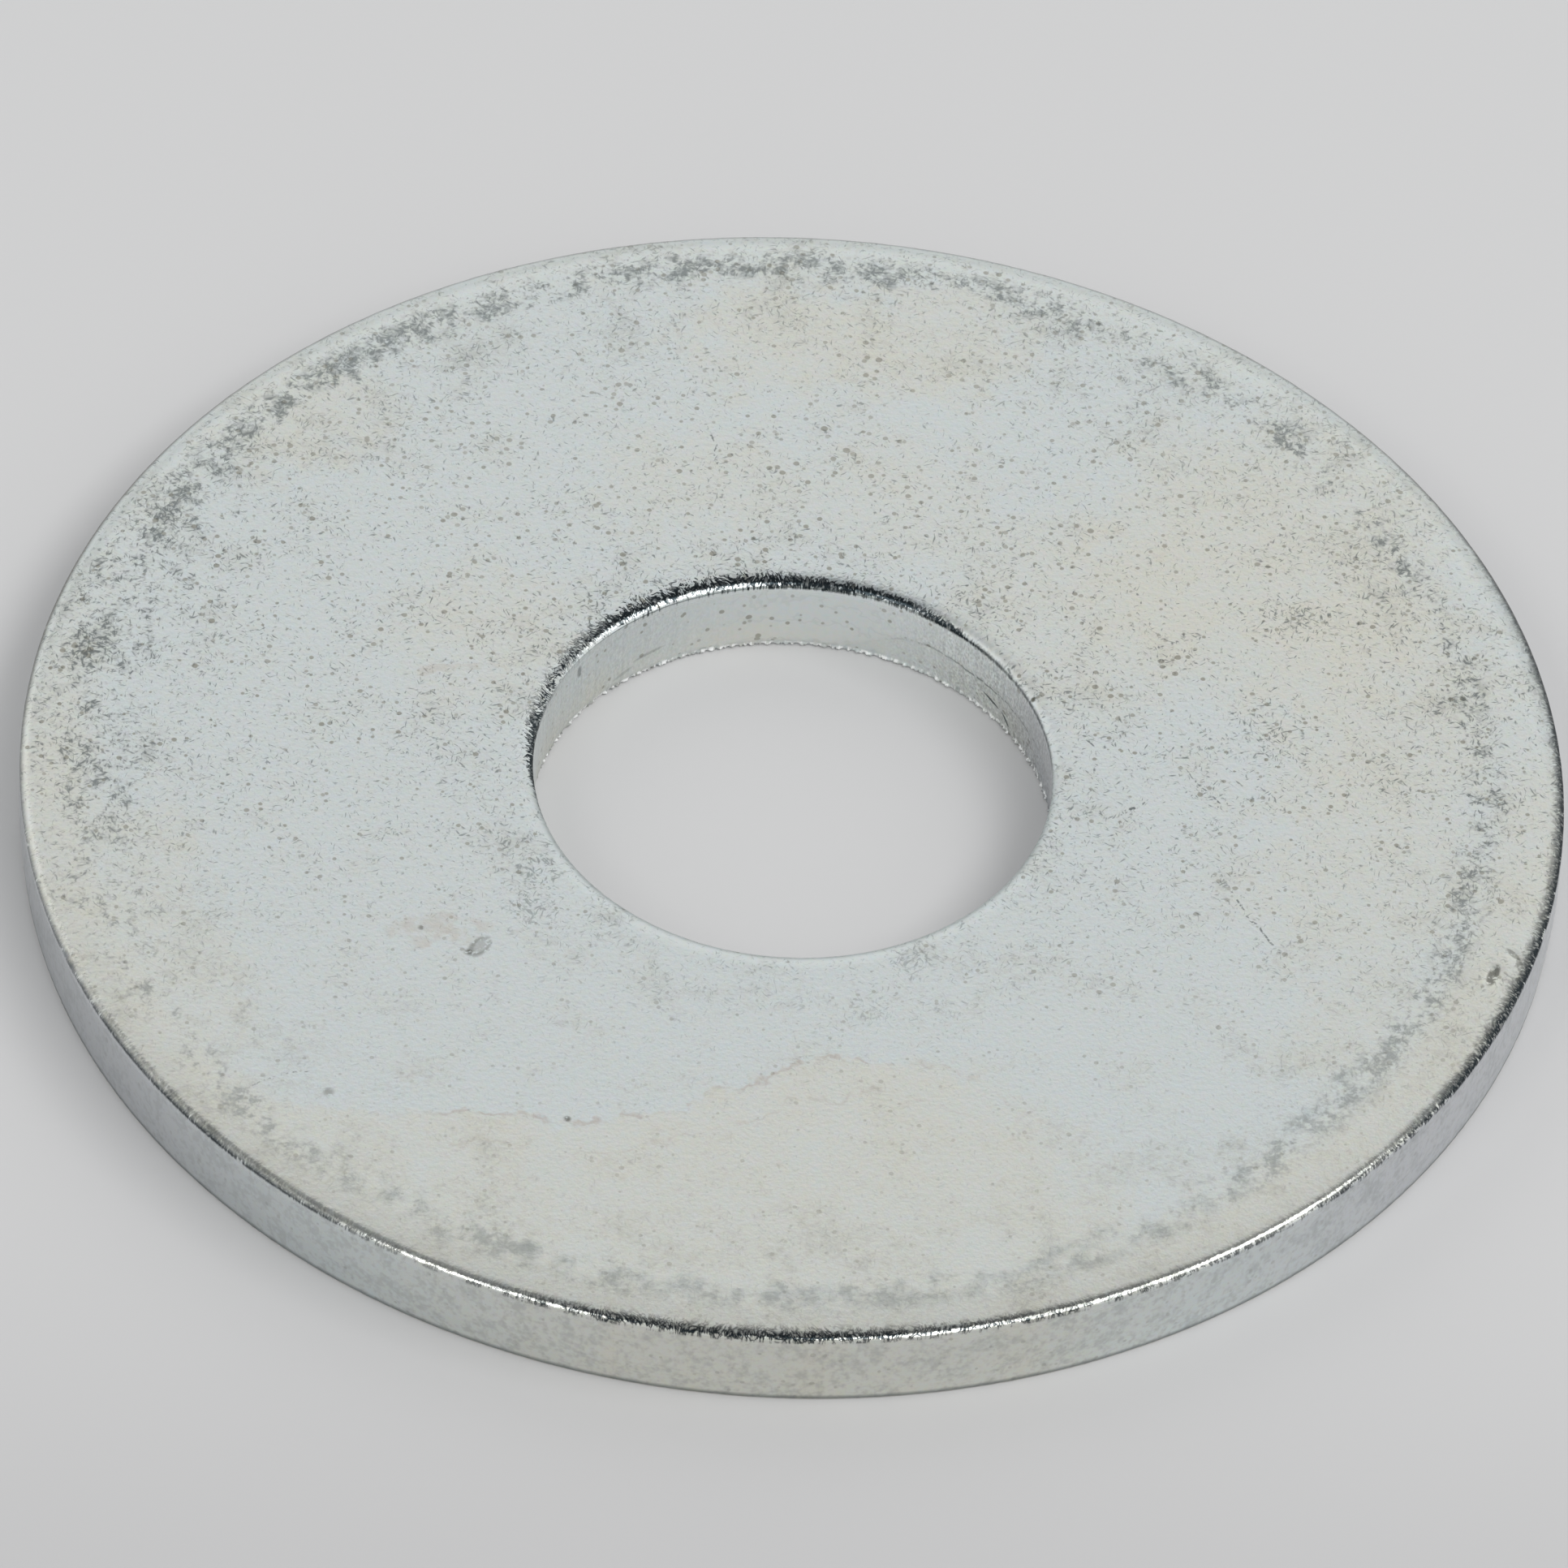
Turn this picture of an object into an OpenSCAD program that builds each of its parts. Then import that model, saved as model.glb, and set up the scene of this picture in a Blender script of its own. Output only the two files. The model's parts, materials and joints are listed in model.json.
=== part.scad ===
// Wide flat washer punched from steel sheet, for an 8 mm bolt.
// The origin is the centre of the hole on the bottom face, and +Z points at the face with the rolled edges.
// Rim and hole are struck from the same side, so both have the section of a punched edge: from the top
// down, a rolled shoulder, a clean shear, a break that leans back, and a broken bottom corner.

/* [Washer] */
// Diameter across the clean shear of the rim
outer_d = 25; // [18:0.5:60]
// Diameter across the clean shear of the hole
bore_d = 8.4; // [5:0.1:14]
// Thickness of the sheet
thick = 1.5; // [1.1:0.1:4]

/* [Rim] */
// Width of the shallow fall that leads to the rim's rolled corner
rim_fall_w = 0.9; // [0.3:0.05:1.5]
// Drop of the shallow fall, measured at the rim
rim_fall_h = 0.04; // [0.01:0.005:0.1]
// Radius of the rim's rolled corner
rim_roll_r = 0.17; // [0.05:0.01:0.25]
// Depth below the top face at which the rim's clean shear ends
rim_shear_h = 0.9; // [0.4:0.05:1.4]
// How far the rim's break leans inwards by the time it reaches the bottom
rim_break_w = 0.05; // [0.01:0.01:0.2]

/* [Hole] */
// Width of the shallow fall that leads to the hole's rolled corner
bore_fall_w = 0.25; // [0.15:0.05:0.8]
// Drop of the shallow fall, measured at the hole
bore_fall_h = 0.015; // [0.005:0.005:0.05]
// Radius of the hole's rolled corner
bore_roll_r = 0.11; // [0.04:0.01:0.14]
// Depth below the top face at which the hole's clean shear ends
bore_shear_h = 0.85; // [0.3:0.05:1.4]
// How far the hole's break leans outwards by the time it reaches the bottom
bore_break_w = 0.07; // [0.01:0.01:0.2]

/* [Bottom corners] */
// Width and height of the broken corner left where the burr was tumbled off
corner_break = 0.04; // [0.01:0.01:0.1]

/* [Hidden] */

rim_r = outer_d / 2;
bore_r = bore_d / 2;
rim_foot_r = rim_r - rim_break_w;
bore_foot_r = bore_r + bore_break_w;

// Reach of a cutter past the faces that it cuts
over = 0.5;
// Sides of the circles that make the rolled corners, and of the washer itself
arc_fn = 120;
ring_fn = 180;

// Radius of the arc that falls by h over the width w, starting level.
function fall_r(w, h) = (w * w + h * h) / (2 * h);

// Height, below the top face, of the rolled corner's centre: the corner touches the wall and, from
// inside, the arc of the fall.
function roll_y(w, h, r) = sqrt(pow(fall_r(w, h) - r, 2) - pow(w - r, 2)) - fall_r(w, h);

// What a rolled shoulder takes off a sharp corner at [0, 0], whose metal lies at negative x and y.
module shoulder_cut(w, h, r) {
    fall_centre = [-w, -fall_r(w, h)];
    roll_centre = [-r, roll_y(w, h, r)];
    outwards = (roll_centre - fall_centre) / norm(roll_centre - fall_centre);

    difference() {
        translate([-w, -over]) square([w + over, 2 * over]);
        translate(fall_centre) circle(r = fall_r(w, h), $fn = arc_fn);
    }
    difference() {
        polygon([roll_centre, roll_centre + outwards * (r + over), [over, over], [over, roll_centre.y]]);
        translate(roll_centre) circle(r = r, $fn = arc_fn);
    }
}

// Half section of the ring, with x as the radius and y as the height.
module ring_section() {
    difference() {
        polygon([
            [bore_r, thick],
            [bore_r, thick - bore_shear_h],
            [bore_foot_r, corner_break],
            [bore_foot_r + corner_break, 0],
            [rim_foot_r - corner_break, 0],
            [rim_foot_r, corner_break],
            [rim_r, thick - rim_shear_h],
            [rim_r, thick],
        ]);
        translate([rim_r, thick]) shoulder_cut(rim_fall_w, rim_fall_h, rim_roll_r);
        translate([bore_r, thick]) mirror([1, 0]) shoulder_cut(bore_fall_w, bore_fall_h, bore_roll_r);
    }
}

module washer() {
    color([0.76, 0.78, 0.77])
        rotate_extrude($fn = ring_fn) ring_section();
}

washer();
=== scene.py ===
"""A punched and zinc-plated flat washer, lying on a plain pale floor."""

import json
import logging
import math
from collections.abc import Iterable
from dataclasses import astuple, dataclass
from enum import Enum
from functools import reduce
from operator import or_

import bpy
from mathutils import Matrix, Vector


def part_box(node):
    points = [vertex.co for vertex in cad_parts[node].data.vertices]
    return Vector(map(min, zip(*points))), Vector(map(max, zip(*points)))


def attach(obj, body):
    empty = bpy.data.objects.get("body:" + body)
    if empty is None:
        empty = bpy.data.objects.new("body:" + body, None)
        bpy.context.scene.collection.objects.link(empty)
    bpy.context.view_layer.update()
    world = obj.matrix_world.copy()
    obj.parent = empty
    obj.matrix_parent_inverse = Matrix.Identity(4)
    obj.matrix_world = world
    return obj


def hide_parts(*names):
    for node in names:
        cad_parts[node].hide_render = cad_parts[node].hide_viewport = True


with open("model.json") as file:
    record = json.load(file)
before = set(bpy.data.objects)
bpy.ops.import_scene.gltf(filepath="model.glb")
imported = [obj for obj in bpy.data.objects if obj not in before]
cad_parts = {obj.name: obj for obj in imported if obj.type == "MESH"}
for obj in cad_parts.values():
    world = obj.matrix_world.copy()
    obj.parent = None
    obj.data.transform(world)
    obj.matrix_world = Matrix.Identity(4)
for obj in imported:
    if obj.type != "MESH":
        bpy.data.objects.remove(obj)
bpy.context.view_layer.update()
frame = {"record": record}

LOG = logging.getLogger("washer")
NODE = "washer"
TORN = "depth_under_tear"
MM = 0.001
TO_MM = 1000.0

Triple = tuple[float, float, float]
Colour = Triple
Point = tuple[float, float]


def add_object(name: str, data: bpy.types.ID) -> bpy.types.Object:
    """Makes an object of the data and puts it in the scene."""
    made = bpy.data.objects.new(name, data)
    bpy.context.scene.collection.objects.link(made)
    return made


@dataclass(frozen=True)
class Value:
    """An output socket of a node tree, with the operators of shader maths."""

    graph: "Graph"
    socket: bpy.types.NodeSocket

    def __add__(self, other: "Term") -> "Value":
        """self + other."""
        return self.graph.maths("ADD", self, other)

    def __sub__(self, other: "Term") -> "Value":
        """self - other."""
        return self.graph.maths("SUBTRACT", self, other)

    def __rsub__(self, other: "Term") -> "Value":
        """other - self."""
        return self.graph.maths("SUBTRACT", other, self)

    def __mul__(self, other: "Term") -> "Value":
        """self * other."""
        return self.graph.maths("MULTIPLY", self, other)

    def __truediv__(self, other: "Term") -> "Value":
        """self / other."""
        return self.graph.maths("DIVIDE", self, other)

    def __abs__(self) -> "Value":
        """The size of self, without its sign."""
        return self.graph.maths("ABSOLUTE", self)

    def __or__(self, other: "Term") -> "Value":
        """The larger of two masks."""
        return self.graph.maths("MAXIMUM", self, other)

    __radd__, __rmul__, __ror__ = __add__, __mul__, __or__

    def rises(self, low: "Term", high: "Term") -> "Value":
        """A smooth step from 0 at low to 1 at high."""
        return self.falls(low, high, 0.0, 1.0)

    def falls(self, low: "Term", high: "Term", full: "Term" = 1.0, rest: float = 0.0) -> "Value":
        """A smooth step from full at low to rest at high."""
        sockets = dict(enumerate((self, low, high, full, rest)))
        return self.graph.add("ShaderNodeMapRange", {"interpolation_type": "SMOOTHSTEP"}, sockets)


Term = Value | float


def largest(masks: Iterable[Value]) -> Value:
    """The largest of several masks."""
    return reduce(or_, masks)


@dataclass(frozen=True)
class Graph:
    """Adds nodes to one shader or geometry tree."""

    tree: bpy.types.NodeTree

    def add(self, kind: str, settings: dict | None = None, sockets: dict | None = None,
            output: int | str = 0) -> Value:
        """Adds a node, with its settings made before its sockets are fed.

        Args:
            kind: The node's type.
            settings: The node's own properties.
            sockets: What each input holds, by its name or number.
            output: The output that is wanted.

        Returns:
            That output.
        """
        node = self.tree.nodes.new(kind)
        for name, setting in (settings or {}).items():
            if name == "stops":
                self.set_stops(node.color_ramp, setting)
            else:
                setattr(node, name, setting)
        for key, value in (sockets or {}).items():
            self.feed(node.inputs[key], value)
        return Value(self, node.outputs[output])

    def set_stops(self, ramp: bpy.types.ColorRamp, stops: tuple[Point, ...]) -> None:
        """Gives a ramp its grey stops.

        Args:
            ramp: The ramp, with the two stops that it is made with.
            stops: Each stop's position and its grey level.
        """
        ramp.elements.remove(ramp.elements[1])
        for number, (position, level) in enumerate(stops):
            element = ramp.elements.new(position) if number else ramp.elements[0]
            element.position = position
            element.color = (level, level, level, 1.0)

    def feed(self, socket: bpy.types.NodeSocket, value: object) -> None:
        """Links a value to a socket, or sets the socket to it.

        Args:
            socket: The input socket.
            value: A Value to link, or a number, colour or vector to set.
        """
        if isinstance(value, Value):
            self.tree.links.new(value.socket, socket)
        elif isinstance(value, tuple) and socket.type == "RGBA":
            socket.default_value = (*value, 1.0)
        else:
            socket.default_value = value

    def maths(self, operation: str, *terms: Term) -> Value:
        """One Math node on numbers."""
        return self.add("ShaderNodeMath", {"operation": operation}, dict(enumerate(terms)))

    def vector(self, operation: str, *terms: object, scale: Term | None = None) -> Value:
        """One Vector Math node; its number comes out where the operation gives one."""
        sockets = dict(enumerate(terms)) | ({} if scale is None else {"Scale": scale})
        output = "Value" if operation in ("LENGTH", "DISTANCE", "DOT_PRODUCT") else "Vector"
        return self.add("ShaderNodeVectorMath", {"operation": operation}, sockets, output)

    def blend(self, factor: Term, first: object, second: object) -> Value:
        """Mixes two colours."""
        return self.add("ShaderNodeMix", {"data_type": "RGBA"}, {0: factor, 6: first, 7: second}, 2)

    def part(self, vector: Value, axis: str) -> Value:
        """One coordinate of a vector."""
        return self.add("ShaderNodeSeparateXYZ", None, {0: vector}, axis)

    def join(self, x: Term = 0.0, y: Term = 0.0, z: Term = 0.0) -> Value:
        """A vector of three coordinates."""
        return self.add("ShaderNodeCombineXYZ", None, {"X": x, "Y": y, "Z": z})

    def shift(self, geometry: Value, offset: Value) -> Value:
        """A geometry with every point moved by its offset."""
        return self.add("GeometryNodeSetPosition", None, {"Geometry": geometry, "Offset": offset})

    def end(self, kind: str, value: Value) -> None:
        """Feeds a value to the tree's new output node."""
        self.feed(self.tree.nodes.new(kind).inputs[0], value)

    def noise(self, point: Value, scale: float, detail: float, rough: float = 0.5,
              level: bool = False, output: int | str = 0) -> Value:
        """Cloudy noise from 0 to 1.

        Args:
            point: Where it is read.
            scale: Clouds to a unit of that point.
            detail: Finer layers of it.
            rough: The share that each finer layer has.
            level: Whether the height is left out of it.
            output: The output that is wanted.

        Returns:
            The noise.
        """
        settings = {"noise_dimensions": "2D" if level else "3D"}
        sockets = {"Vector": point, "Scale": scale, "Detail": detail, "Roughness": rough}
        return self.add("ShaderNodeTexNoise", settings, sockets, output)


def blank_material(name: str) -> tuple[bpy.types.Material, Graph]:
    """Makes a material without nodes.

    Args:
        name: Its name.

    Returns:
        The material, and the graph that adds its nodes.
    """
    material = bpy.data.materials.new(name)
    material.use_nodes = True
    material.node_tree.nodes.clear()
    return material, Graph(material.node_tree)


@dataclass(frozen=True)
class Oval:
    """An oval on the top face, or in the plane of two axes, with its strength or depth."""

    middle: tuple[float, ...]
    half: Point
    turn: float
    full: float
    side: Triple = (1.0, 0.0, 0.0)
    up: Triple = (0.0, 1.0, 0.0)


class Place:
    """Where a point of the washer is, in millimetres, as values of one tree."""

    def __init__(self, graph: Graph, position: Value) -> None:
        """Works out the radius, the height and the outward direction.

        Args:
            graph: The tree.
            position: The point's own position in metres.
        """
        self.graph = graph
        self.point = graph.vector("SCALE", position, scale=TO_MM)
        self.x, self.y, self.height = (graph.part(self.point, axis) for axis in "XYZ")
        self.level = graph.vector("MULTIPLY", self.point, (1.0, 1.0, 0.0))
        self.radius = graph.vector("LENGTH", self.level)
        self.outward = graph.vector("NORMALIZE", self.level)
        self.out_x, self.out_y = (graph.part(self.outward, axis) for axis in "XY")
        self.turn = graph.maths("ARCTAN2", self.out_y, self.out_x) / (2 * math.pi) + 0.5

    def round_noise(self, radius: float, scale: float, detail: float, lift: float = 0.0) -> Value:
        """Noise that changes only on the way round the ring.

        Args:
            radius: The circle that the noise is laid on.
            scale: Clouds to a millimetre of that circle.
            detail: Finer layers of it.
            lift: The share of the height that is let in.

        Returns:
            The noise, from 0 to 1.
        """
        circle = self.graph.vector("SCALE", self.outward, scale=radius)
        upright = self.graph.vector("MULTIPLY", self.point, (0.0, 0.0, lift))
        return self.graph.noise(self.graph.vector("ADD", circle, upright), scale, detail)

    def oval(self, point: Value, oval: Oval) -> Value:
        """The squared distance of a point from an oval's middle.

        Args:
            point: The point in millimetres.
            oval: The oval.

        Returns:
            The squared distance, which is 1 on the oval.
        """
        turn, side, up = math.radians(oval.turn), Vector(oval.side), Vector(oval.up)
        along = (side * math.cos(turn) + up * math.sin(turn)) / oval.half[0]
        across = (up * math.cos(turn) - side * math.sin(turn)) / oval.half[1]
        offset = self.graph.vector("SUBTRACT", point, Vector(oval.middle).to_3d())
        first = self.graph.vector("DOT_PRODUCT", offset, along)
        second = self.graph.vector("DOT_PRODUCT", offset, across)
        return self.graph.maths("MULTIPLY_ADD", first, first, second * second)


@dataclass(frozen=True)
class Profile:
    """A value that changes on the way round the washer."""

    full: float
    steps: tuple[Point, ...]

    def at(self, place: Place) -> Value:
        """The value at a point, between the steps' azimuths in degrees."""
        stops = tuple((azimuth / 360 + 0.5, value / self.full) for azimuth, value in self.steps)
        level = place.graph.add("ShaderNodeValToRGB", {"stops": stops}, {"Fac": place.turn})
        return level * self.full


def stretch(start: float, end: float, steps: int) -> list[float]:
    """Even steps from start up to, but not with, end."""
    return [start + (end - start) * i / steps for i in range(steps)]


@dataclass(frozen=True)
class Edge:
    """One punched edge: its die roll at the top and its torn stretch below."""

    fall_w: float
    fall_h: float
    roll_r: float
    roll_tilt: float
    break_w: float

    @property
    def reach(self) -> float:
        """How far the rolled corner reaches into the metal."""
        return self.roll_r * math.sin(math.radians(self.roll_tilt))

    def shoulder(self, fall_steps: int, roll_steps: int) -> list[Point]:
        """Points from the flat face, over the fall and the rolled corner, to the wall.

        Args:
            fall_steps: Stretches of the long fall.
            roll_steps: Stretches of the rolled corner.

        Returns:
            Each point's distance into the metal and its height from the top.
        """
        fall_r = (self.fall_w**2 + self.fall_h**2) / (2 * self.fall_h)
        roll_y = math.sqrt((fall_r - self.roll_r) ** 2 - (self.fall_w - self.reach) ** 2) - fall_r
        meet = math.atan2(roll_y + fall_r, self.reach - self.fall_w)
        foot = math.pi / 2 + math.radians(self.roll_tilt)
        fall = stretch(math.pi / 2, meet, fall_steps)
        roll = stretch(meet, foot, roll_steps) + [foot]
        points = [(self.fall_w + fall_r * math.cos(a), fall_r * math.sin(a) - fall_r) for a in fall]
        points += [(self.reach + self.roll_r * math.cos(a), roll_y + self.roll_r * math.sin(a))
                   for a in roll]
        return points


@dataclass(frozen=True)
class Sizes:
    """The washer's sizes in millimetres; the outer ones come from the frame."""

    rim_r: float
    bore_r: float
    thick: float
    rim: Edge = Edge(fall_w=0.9, fall_h=0.04, roll_r=0.19, roll_tilt=54.0, break_w=0.05)
    bore: Edge = Edge(fall_w=0.4, fall_h=0.015, roll_r=0.24, roll_tilt=52.0, break_w=0.07)
    corner: float = 0.04

    @classmethod
    def from_frame(cls, record: dict) -> "Sizes":
        """Reads the rim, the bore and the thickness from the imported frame."""
        low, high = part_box(NODE)
        bore = next(m for m in record["mounts"] if m["name"] == "bolt_hole")
        return cls(rim_r=high.x * TO_MM, bore_r=bore["dims"]["r_mm"], thick=high.z * TO_MM)


@dataclass
class Section:
    """The outline that is swept round the ring, as plain walls with rolled corners."""

    sizes: Sizes
    bore_steps: tuple[int, int, int] = (4, 11, 12)
    rim_steps: tuple[int, int, int] = (8, 13, 7)
    land_steps: int = 3
    foot_steps: int = 6
    foot_h: float = 0.13
    torn_share: float = 0.64
    underside_steps: int = 6
    face_steps: int = 4
    corner_share: float = 0.3

    def wall(self, foot: float, top: float, torn_steps: int) -> list[float]:
        """Heights down a wall: few on the smooth land, many where it is torn or burred.

        Args:
            foot: The lowest height.
            top: The highest one.
            torn_steps: Steps of the torn stretch.

        Returns:
            The heights, from the top down.
        """
        torn_top = top * self.torn_share
        heights = stretch(top, torn_top, self.land_steps)[1:]
        heights += stretch(torn_top, self.foot_h, torn_steps)
        return heights + stretch(self.foot_h, foot, self.foot_steps)

    def outline(self) -> list[Point]:
        """Lays out the closed outline.

        Returns:
            Its points, as radius and height in millimetres.
        """
        s = self.sizes
        cut = s.corner * self.corner_share
        corner = [(0.0, s.corner), (cut, cut), (s.corner, 0.0)]
        bore_top = s.bore.shoulder(*self.bore_steps[:2])
        rim_top = s.rim.shoulder(*self.rim_steps[:2])
        bore_wall = self.wall(s.corner, s.thick + bore_top[-1][1], self.bore_steps[2])
        rim_wall = self.wall(s.corner, s.thick + rim_top[-1][1], self.rim_steps[2])
        points = [(s.bore_r + d, s.thick + h) for d, h in bore_top]
        points += [(s.bore_r, h) for h in bore_wall]
        points += [(s.bore_r + d, h) for d, h in corner]
        underside = stretch(s.bore_r + s.corner, s.rim_r - s.corner, self.underside_steps)[1:]
        points += [(r, 0.0) for r in underside]
        points += [(s.rim_r - d, h) for d, h in reversed(corner)]
        points += [(s.rim_r, h) for h in reversed(rim_wall)]
        points += [(s.rim_r - d, s.thick + h) for d, h in reversed(rim_top)]
        face = stretch(s.rim_r - s.rim.fall_w, s.bore_r + s.bore.fall_w, self.face_steps)[1:]
        return points + [(r, s.thick) for r in face]

    def mesh(self) -> bpy.types.Mesh:
        """Makes the outline a closed loop of edges.

        Returns:
            The loop in the XY plane, in metres.
        """
        points = self.outline()
        count = len(points)
        edges = [(i, (i + 1) % count) for i in range(count)]
        mesh = bpy.data.meshes.new("washer_section")
        mesh.from_pydata([(r * MM, h * MM, 0.0) for r, h in points], edges, [])
        return mesh


@dataclass
class PunchedRing:
    """The washer's own mesh, swept by a geometry tree that also tears its edges."""

    sizes: Sizes
    segments: int = 1140
    seed: int = 7
    bore_tear: float = 0.62
    rim_tear: float = 0.5
    bristle: float = 0.014
    burr: float = 0.048
    grain: float = 0.018
    lip_share: float = 0.35
    dents: tuple[Oval, ...] = (
        Oval((11.38, -3.8), (0.085, 0.22), -18.0, 0.05),
        Oval((11.69, -3.32), (0.05, 0.13), 46.0, 0.02),
        Oval((-11.47, -5.03), (0.1, 0.13), 24.0, 0.06),
        Oval((-11.34, -5.33), (0.08, 0.1), 24.0, 0.05),
    )

    def inputs(self) -> dict[str, float | int]:
        """Names the tree's sizes and its seed.

        Returns:
            Each input's value by its name, with lengths in millimetres.
        """
        s = self.sizes
        return {
            "Segments": self.segments, "Seed": self.seed, "Bore Radius": s.bore_r,
            "Rim Radius": s.rim_r, "Thickness": s.thick, "Bore Tear Height": self.bore_tear,
            "Rim Tear Height": self.rim_tear, "Bore Break": s.bore.break_w,
            "Rim Break": s.rim.break_w, "Bristle Depth": self.bristle, "Burr": self.burr,
            "Tear Grain": self.grain,
        }

    def tree(self) -> bpy.types.NodeTree:
        """Builds the geometry tree that sweeps the section and shapes its edges.

        Returns:
            The tree.
        """
        tree = bpy.data.node_groups.new("punched_ring", "GeometryNodeTree")
        side = tree.interface
        side.new_socket("Geometry", in_out="INPUT", socket_type="NodeSocketGeometry")
        for name, value in self.inputs().items():
            kind = "NodeSocketInt" if isinstance(value, int) else "NodeSocketFloat"
            side.new_socket(name, in_out="INPUT", socket_type=kind)
        side.new_socket("Material", in_out="INPUT", socket_type="NodeSocketMaterial")
        side.new_socket("Geometry", in_out="OUTPUT", socket_type="NodeSocketGeometry")
        graph = Graph(tree)
        source = tree.nodes.new("NodeGroupInput")
        given = {socket.name: Value(graph, socket) for socket in source.outputs if socket.name}
        section = graph.add("GeometryNodeMeshToCurve", None, {"Mesh": given["Geometry"]})
        path = graph.add("GeometryNodeCurvePrimitiveCircle", None,
                         {"Resolution": given["Segments"], "Radius": MM})
        swept = graph.add("GeometryNodeCurveToMesh", None, {"Curve": path, "Profile Curve": section})
        swept = self.lay_out(graph, swept, given)
        ring = graph.add("GeometryNodeFlipFaces", None, {"Mesh": swept})
        place = Place(graph, graph.add("GeometryNodeInputPosition"))
        ring = self.press(place, self.tear(place, ring, given))
        ring = graph.add("GeometryNodeSetShadeSmooth", None, {"Geometry": ring})
        ring = graph.add("GeometryNodeRealizeInstances", None, {"Geometry": ring})
        sockets = {"Geometry": ring, "Material": given["Material"]}
        graph.end("NodeGroupOutput", graph.add("GeometryNodeSetMaterial", None, sockets))
        return tree

    def lay_out(self, graph: Graph, swept: Value, given: dict[str, Value]) -> Value:
        """Puts each swept point at its section point's radius and height.

        Args:
            graph: The tree.
            swept: The ring of quads, in rows of one section each.
            given: The tree's named inputs, the section's own mesh among them.

        Returns:
            The ring, true to the section.
        """
        section = given["Geometry"]
        size = graph.add("GeometryNodeAttributeDomainSize", {"component": "MESH"}, {0: section})
        index = graph.add("GeometryNodeInputIndex")
        row = graph.maths("FLOOR", (index + 0.5) / size)
        angle = row * (2 * math.pi) / given["Segments"]
        spot = graph.add("GeometryNodeInputPosition")
        point = graph.add("GeometryNodeSampleIndex", {"data_type": "FLOAT_VECTOR"},
                          {"Geometry": section, "Value": spot, "Index": index - row * size})
        radius, height = graph.part(point, "X"), graph.part(point, "Y")
        x, y = radius * graph.maths("COSINE", angle), radius * graph.maths("SINE", angle)
        sockets = {"Geometry": swept, "Position": graph.join(x, y, height)}
        return graph.add("GeometryNodeSetPosition", None, sockets)

    def tear(self, place: Place, ring: Value, given: dict[str, Value]) -> Value:
        """Breaks the lower walls, roughens the rolls and raises the burr.

        Args:
            place: The point.
            ring: The plain ring.
            given: The tree's named inputs.

        Returns:
            The ring with its punched edges, which keeps how far each point is under its tear line.
        """
        graph = place.graph
        bore_r, rim_r = self.sizes.bore_r, self.sizes.rim_r
        bore_inset, rim_inset = place.radius - given["Bore Radius"], given["Rim Radius"] - place.radius
        at_bore, at_rim = bore_inset.falls(0.06, 0.6), rim_inset.falls(0.06, 0.6)
        moved = graph.vector("ADD", place.point, graph.join(given["Seed"], given["Seed"]))
        grain = (graph.noise(moved, 9.0, 3.0, 0.6) - 0.5) * given["Tear Grain"]
        right = place.out_x.rises(0.05, 0.55)
        wave = place.round_noise(bore_r, 0.9, 3.0, 0.4) - 0.5
        fine = place.round_noise(bore_r, 6.0, 2.0, 0.6) - 0.5
        bore_line = given["Bore Tear Height"] * (right * 0.95 + 0.25) + wave * 0.35 + fine * 0.1
        rim_wave = place.round_noise(rim_r, 0.5, 3.0, 0.4) - 0.5
        rim_line = given["Rim Tear Height"] + rim_wave * 0.5 + fine * 0.12
        gap = bore_line * at_bore + rim_line * (1 - at_bore) - place.height
        inward = self.recess(place, bore_line, given["Bore Break"], grain) * at_bore
        outward = self.recess(place, rim_line, given["Rim Break"], grain) * at_rim
        beads = place.round_noise(bore_r, 16.0, 2.0).rises(0.44, 0.6)
        lip = place.height.rises(0.0, 0.035) * place.height.falls(0.04, 0.1)
        burr = beads * given["Burr"] * lip * at_bore
        ring = graph.add("GeometryNodeStoreNamedAttribute", {"data_type": "FLOAT", "domain": "POINT"},
                         {"Geometry": ring, "Name": TORN, "Value": gap})
        ring = graph.shift(ring, graph.vector("SCALE", place.outward, scale=(inward - outward - burr) * MM))
        near_top = (given["Thickness"] - place.height).falls(0.14, 0.3)
        bristles = place.round_noise(bore_r, 12.0, 2.0, 0.5) * bore_inset.falls(0.1, 0.32)
        ripples = graph.noise(place.point, 4.0, 3.0, 0.6) * rim_inset.falls(0.1, 0.45)
        sink = (bristles + ripples) * near_top * given["Bristle Depth"] * -MM
        return graph.shift(ring, graph.vector("SCALE", graph.add("GeometryNodeInputNormal"), scale=sink))

    def recess(self, place: Place, line: Value, depth: Value, grain: Value) -> Value:
        """How far a wall stands back at and below its tear line.

        Args:
            place: The point.
            line: The height of the tear line there.
            depth: How far the foot of the wall stands back.
            grain: The roughness of the torn metal.

        Returns:
            The distance in millimetres.
        """
        under = line - place.height
        lip = under.rises(-0.03, 0.04)
        slope = (under / line).rises(0.0, 1.0)
        return depth * (lip * self.lip_share + slope * (1 - self.lip_share)) + grain * lip

    def press(self, place: Place, ring: Value) -> Value:
        """Presses the dents into the top face."""
        depth = sum(place.oval(place.point, dent).falls(0.12, 1.3, dent.full) for dent in self.dents)
        return place.graph.shift(ring, place.graph.join(z=depth * place.height.rises(1.0, 1.3) * -MM))

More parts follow.
